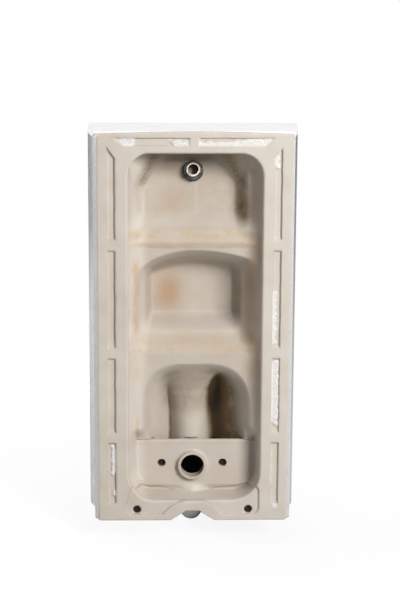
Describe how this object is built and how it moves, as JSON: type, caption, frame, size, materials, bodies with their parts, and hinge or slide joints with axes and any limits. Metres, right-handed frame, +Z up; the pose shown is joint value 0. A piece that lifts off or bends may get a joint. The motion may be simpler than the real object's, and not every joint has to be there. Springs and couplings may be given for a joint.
{
  "type": "wall-hung urinal",
  "caption": "Wall-hung washout urinal in vitreous china, open ribbed back with three pockets, outlet horn, trap, inlet spud and lift-out strainer.",
  "frame": {"origin": "where the axis of the waste outlet crosses the wall plane, which is the plane of the flat back frame", "axes": "+Y out of the back, into the wall; +Z up; the bowl reaches out toward -Y; +X is to the left of the picture, which looks at the back"},
  "size_m": [0.366, 0.378, 0.7302],
  "materials": {
    "unglazed_china": "bare biscuit china with a thin beige wash, half matt",
    "white_glazed_china": "white gloss glaze",
    "spud_metal": "plated, dulled, bare brass inside",
    "nut_metal": "dull cast metal",
    "black_rubber": "black moulded rubber",
    "strainer_steel": "satin stainless sheet"
  },
  "bodies": {
    "urinal": {"wall_frame": "unglazed_china", "mounting_rail": "unglazed_china", "upper_pocket": "unglazed_china", "middle_pocket": "unglazed_china", "lower_pocket": "unglazed_china", "upper_web": "unglazed_china", "lower_web": "unglazed_china", "left_hanger_pad": "unglazed_china", "right_hanger_pad": "unglazed_china", "bowl_back_column": "unglazed_china", "outlet_plate": "unglazed_china", "outlet_horn": "unglazed_china", "trap_elbow": "unglazed_china", "trap_riser": "unglazed_china", "flush_chamber": "unglazed_china", "trap_bend": "white_glazed_china", "bowl_basin": "white_glazed_china", "bowl_lip": "white_glazed_china", "splash_wall": "white_glazed_china", "left_shield": "white_glazed_china", "right_shield": "white_glazed_china", "top_ledge": "white_glazed_china", "wash_spreader": "white_glazed_china", "inlet_spud": "spud_metal", "spud_gasket": "black_rubber", "friction_ring": "nut_metal", "spud_lock_nut": "nut_metal"},
    "strainer": {"strainer": "strainer_steel"}
  },
  "joints": [
    {"name": "strainer_lift", "type": "slide", "parent": "urinal", "child": "strainer", "axis": [0, 0, 1], "range_m": [0, 0.06]}
  ]
}
